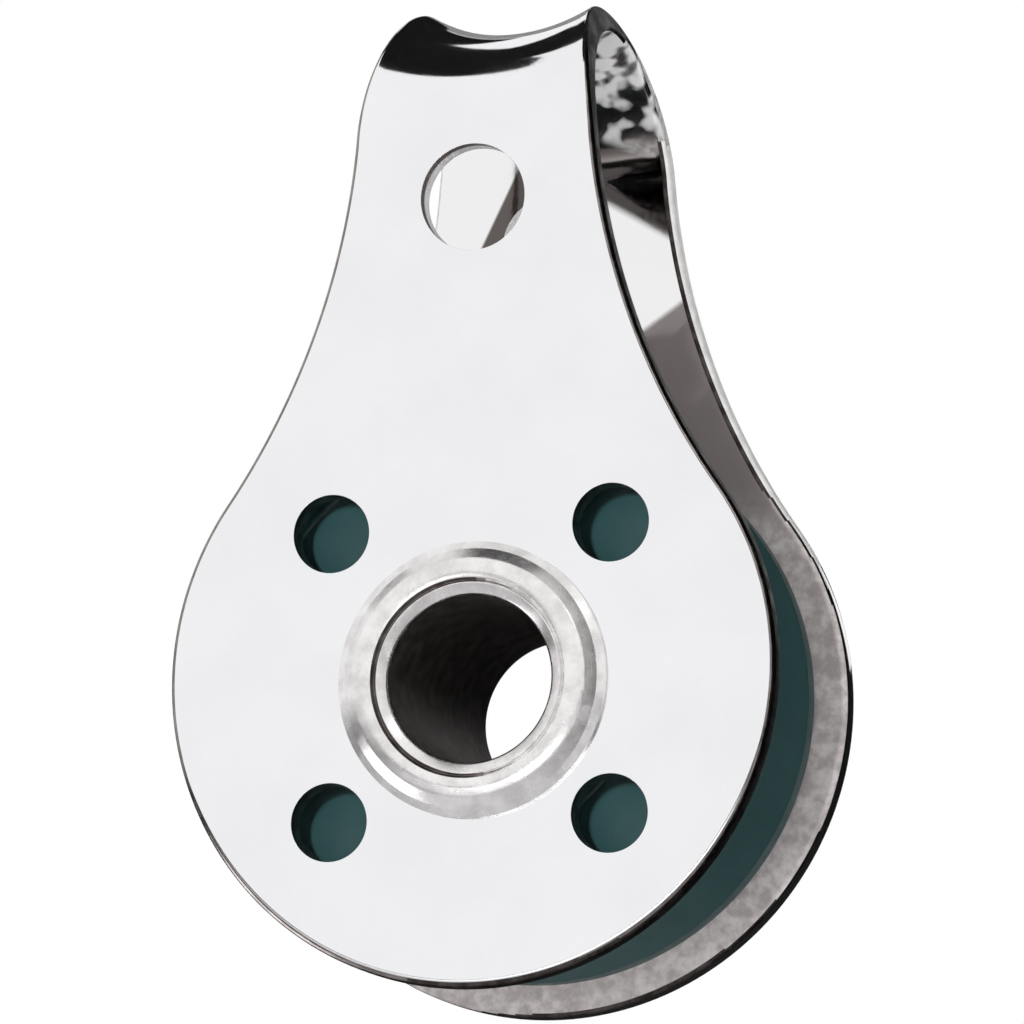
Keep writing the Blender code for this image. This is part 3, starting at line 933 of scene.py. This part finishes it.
def makeAxle():
    look = axleLook
    underLip = cheekOuterY + look["seatGap"]
    top = lipHigh.y
    half = [
        (look["boreRadius"], top - look["mouthDrop"], 0.0003),
        (look["creaseInner"], top - look["shoulderDrop"], 0.00005),
        (look["creaseRadius"], top - look["shoulderDrop"] - look["creaseDepth"], 0.00002),
        (look["creaseOuter"], top - look["shoulderDrop"] / 2, 0.00006),
        (look["topRadius"], top, 0.0008),
        (look["shoulderRadius"], top - look["shoulderDrop"], 0.0004),
        (look["turnRadius"], top - look["turnDrop"], 0.0002),
        (look["lipRadius"], top - look["footDrop"], 0),
        (look["lipRadius"], underLip, 0),
        (look["tubeRadius"], underLip, 0),
    ]
    otherHalf = [(radius, -y, size) for radius, y, size in reversed(half)]
    axle = turnSection("rolledAxle", soften(half + otherHalf), look["ringSteps"])
    startEdit(axle)
    pick(axle, lambda co: not near(math.hypot(co.x, co.z - axleCentre.z), look["tubeRadius"], pickReach))
    bpy.ops.transform.translate(value=look["rolledAside"])
    bpy.ops.object.mode_set(mode="OBJECT")
    for steel in axleSteels:
        axle.data.materials.append(steel)
    # The bore gets the dark bore steel as painted shade inside the tube
    for face in axle.data.polygons:
        aside = face.center - axleCentre - Vector(look["rolledAside"])
        outward = math.hypot(aside.x, aside.z)
        if outward < look["boreRadius"] * look["boreReach"]:
            face.material_index = boreShadeSlot
        # The crease gets the dark edge steel as painted shade, fading out towards its right side
        elif abs(outward - look["creaseRadius"]) < look["creaseHalf"] * ramp(aside.x, *look["creaseShadeFade"]):
            face.material_index = creaseShadeSlot
    shade(axle)
    return axle


axle = makeAxle()
print("axle made:", len(axle.data.polygons), "faces")


# Sheave: moulded plastic, with a groove for the wire, a recess in each side and a hub

sheaveLook = {
    "grooveDepth": 0.0031,
    "grooveRadius": 0.0022,
    "flangeClearance": 0.00035,
    "rimRound": 0.0003,
    "rimLand": 0.0009,
    "flangeWidth": 0.0011,
    "webRecess": 0.0013,
    "draft": 0.00025,
    "hubRadius": 0.00665,
    "boreRadius": 0.00585,
    "boreChamfer": 0.0002,
    "mouthRound": 0.00015,
    "footRound": 0.00025,
    "topRound": 0.00012,
    "ringSteps": 160,
}


def makeSheave():
    look = sheaveLook
    rim = sheaveHigh.x
    hubY = sheaveHigh.y
    flangeY = cheekOuterY - strapLook["thickness"] - look["flangeClearance"]
    webY = flangeY - look["webRecess"]
    mouthY = flangeY - look["rimRound"] - look["rimLand"]
    grooveCentre = rim - look["grooveDepth"] + look["grooveRadius"]
    mouthRise = rim - grooveCentre
    mouthReach = math.hypot(mouthRise, mouthY)
    touch = math.pi - math.atan2(mouthY, mouthRise) - math.acos(look["grooveRadius"] / mouthReach)
    grooveApex = grooveCentre - look["grooveRadius"] / math.cos(touch)
    flangeInner = rim - look["flangeWidth"]
    half = [
        (rim, mouthY, look["mouthRound"]),
        (rim, flangeY, look["rimRound"]),
        (flangeInner, flangeY, look["topRound"]),
        (flangeInner - look["draft"], webY, look["footRound"]),
        (look["hubRadius"] + look["draft"], webY, look["footRound"]),
        (look["hubRadius"], hubY, look["topRound"]),
        (look["boreRadius"] + look["boreChamfer"], hubY, 0),
        (look["boreRadius"], hubY - look["boreChamfer"], 0),
    ]
    otherHalf = [(radius, -y, size) for radius, y, size in reversed(half)]
    corners = [(grooveApex, 0, look["grooveRadius"])] + half + otherHalf
    sheave = turnSection("tealSheave", soften(corners), look["ringSteps"])
    sheave.data.materials.append(tealPlastic)
    shade(sheave)
    return sheave


sheave = makeSheave()
print("sheave made:", len(sheave.data.polygons), "faces")


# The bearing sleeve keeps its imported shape, which the sheave hides

sleeve = frame["nodes"]["bearing_sleeve"]
sleeve.data.materials.clear()
sleeve.data.materials.append(edgeSteel)

for piece, node, body, slot in (
    (strap, "strap", "strap_body", "polished_strap"),
    (axle, "hollow_axle", "strap_body", "rolled_axle"),
    (sheave, "sheave", "sheave_body", "sheave_plastic"),
):
    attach(piece, body)
    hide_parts(node)
print("pieces ride on their bodies")


# Studio: white surroundings, a pale floor, soft lamps and dark boards that the steel reflects

studio = {
    "floorDrop": 0.16,
    "floorSize": 4.0,
    "floorColour": (0.86, 0.86, 0.865),
    "fill": 0.04,
    "boardCentre": Vector((0, 0, -0.010)),
    "boardSteps": (16, 10),
}


def makeWorld():
    world = bpy.data.worlds.new("whiteRoom")
    world.use_nodes = True
    bpy.context.scene.world = world
    tree = world.node_tree
    tree.nodes.clear()
    paths = addNode(tree, "ShaderNodeLightPath", (-600, 200))
    seen = addNode(tree, "ShaderNodeMath", (-400, 200), operation="MAXIMUM")
    seenToo = addNode(tree, "ShaderNodeMath", (-200, 200), operation="MAXIMUM")
    white = addNode(tree, "ShaderNodeBackground", (0, 0), Color=(1, 1, 1, 1), Strength=1.0)
    fill = addNode(tree, "ShaderNodeBackground", (0, -200), Color=(1, 1, 1, 1), Strength=studio["fill"])
    mix = addNode(tree, "ShaderNodeMixShader", (250, 0))
    out = addNode(tree, "ShaderNodeOutputWorld", (450, 0))
    tree.links.new(paths.outputs["Is Camera Ray"], seen.inputs[0])
    tree.links.new(paths.outputs["Is Glossy Ray"], seen.inputs[1])
    tree.links.new(seen.outputs["Value"], seenToo.inputs[0])
    tree.links.new(paths.outputs["Is Transmission Ray"], seenToo.inputs[1])
    tree.links.new(seenToo.outputs["Value"], mix.inputs[0])
    tree.links.new(fill.outputs["Background"], mix.inputs[1])
    tree.links.new(white.outputs["Background"], mix.inputs[2])
    tree.links.new(mix.outputs["Shader"], out.inputs["Surface"])


def plainMaterial(name, colour, roughness):
    material = bpy.data.materials.new(name)
    material.use_nodes = True
    shader = material.node_tree.nodes["Principled BSDF"]
    shader.inputs["Base Color"].default_value = (*colour, 1)
    shader.inputs["Roughness"].default_value = roughness
    shader.inputs["Specular IOR Level"].default_value = 0.0
    return material


def makeFloor():
    bpy.ops.object.select_all(action="DESELECT")
    bpy.ops.mesh.primitive_plane_add(size=studio["floorSize"], location=(0, 0, -studio["floorDrop"]))
    floor = bpy.context.object
    floor.name = "paleFloor"
    settle(floor)
    floor.data.materials.append(plainMaterial("palePaper", studio["floorColour"], 0.9))


def makeBoard(name, azimuths, elevations, distance, material):
    # A curved board round the block, which only mirrors see
    steps = studio["boardSteps"]
    bpy.ops.object.select_all(action="DESELECT")
    bpy.ops.mesh.primitive_grid_add(x_subdivisions=steps[0], y_subdivisions=steps[1], size=1)
    board = bpy.context.object
    board.name = name
    for vertex in board.data.vertices:
        azimuth = azimuths[0] + (azimuths[1] - azimuths[0]) * (vertex.co.x + 0.5)
        elevation = elevations[0] + (elevations[1] - elevations[0]) * (vertex.co.y + 0.5)
        vertex.co = studio["boardCentre"] + lookFrom(azimuth, elevation) * distance
    board.data.materials.append(material)
    board.visible_camera = False
    board.visible_diffuse = False
    board.visible_shadow = False


def makeLamp(name, azimuth, elevation, distance, width, height, level, mirrored):
    # The level is what the lamp alone adds to a white surface that faces it
    data = bpy.data.lights.new(name, "AREA")
    data.shape = "RECTANGLE"
    data.size = width
    data.size_y = height
    data.energy = level * math.pi**2 * distance**2
    lamp = bpy.data.objects.new(name, data)
    back = lookFrom(azimuth, elevation)
    lamp.matrix_world = (
        Matrix.Translation(axleCentre + back * distance) @ back.to_track_quat("Z", "Y").to_matrix().to_4x4()
    )
    lamp.visible_camera = False
    lamp.visible_glossy = mirrored
    bpy.context.scene.collection.objects.link(lamp)


blackCard = plainMaterial("blackCard", (0.01, 0.01, 0.01), 0.9)
greyCard = plainMaterial("greyCard", (0.30, 0.29, 0.285), 0.9)
makeWorld()
makeFloor()
makeBoard("boardZenith", (-180, 180), (69, 90), 0.5, blackCard)
makeBoard("boardBackTop", (170, 245), (59, 72), 0.49, blackCard)
makeBoard("boardLeftHigh", (-142, -101), (47, 72), 0.48, blackCard)
makeBoard("boardBehindHigh", (170, 204), (38, 62), 0.48, blackCard)
makeBoard("boardBehindLeft", (176, 193), (14, 40), 0.49, blackCard)
makeBoard("boardBehindGrey", (192, 218), (14, 37), 0.5, greyCard)
makeBoard("boardRight", (60, 164), (-15, 72), 0.49, blackCard)
makeBoard("boardRightBack", (163, 172), (-15, 10), 0.5, blackCard)
makeBoard("boardRightLow", (60, 173), (-65, -14), 0.15, blackCard)
makeBoard("boardBehindLow", (172, 245), (-75, 12), 0.15, blackCard)
makeLamp("lampFront", 0, 2, 0.8, 0.06, 0.06, 1.15, False)
makeLamp("lampTop", -25, 50, 0.9, 0.5, 0.4, 0.1, False)
makeLamp("lampSide", 60, -12, 0.8, 0.4, 0.4, 1.3, False)
makeLamp("lampRight", 48, 40, 0.8, 0.13, 0.13, 0.018, True)
makeLamp("lampLow", -95, -34, 0.2, 0.13, 0.11, 0.4, True)
makeLamp("lampFloor", 0, 90, -0.05, 0.25, 0.25, 4.0, False)
print("studio made")
